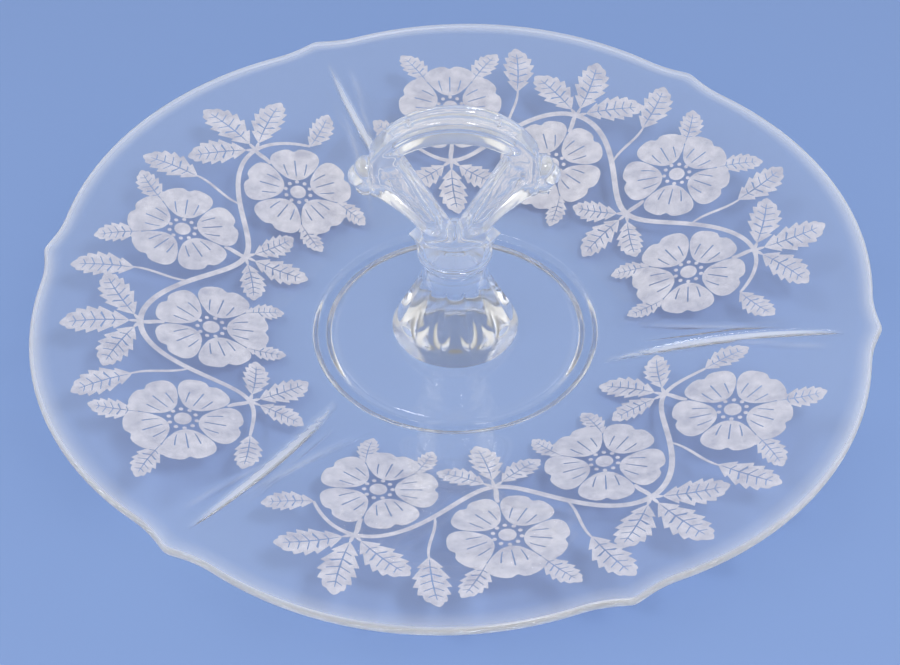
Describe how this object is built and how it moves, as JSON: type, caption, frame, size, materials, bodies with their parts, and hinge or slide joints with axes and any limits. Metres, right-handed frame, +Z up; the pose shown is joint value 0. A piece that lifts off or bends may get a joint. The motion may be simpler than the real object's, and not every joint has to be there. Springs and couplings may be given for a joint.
{
  "type": "center handle tray",
  "caption": "Round pressed-glass serving tray with a scalloped, pointed rim, frosted flower decoration and a fluted stem carrying an open loop handle with lobed knobs",
  "frame": {"origin": "on the plate's axis, at the level that the foot ring stands on", "axes": "+Z up along the stem, +X along the handle's loop from left knob to right knob, +Y from the front to the back"},
  "size_m": [0.2678, 0.2714, 0.095],
  "materials": {
    "clear_glass": "fire-polished clear"
  },
  "bodies": {
    "root": {"tray_plate": "clear_glass", "foot_ring": "clear_glass", "handle_stem": "clear_glass", "handle_collar": "clear_glass", "handle_left_arm": "clear_glass", "handle_right_arm": "clear_glass", "handle_grip": "clear_glass", "left_knob": "clear_glass", "right_knob": "clear_glass"}
  },
  "joints": []
}
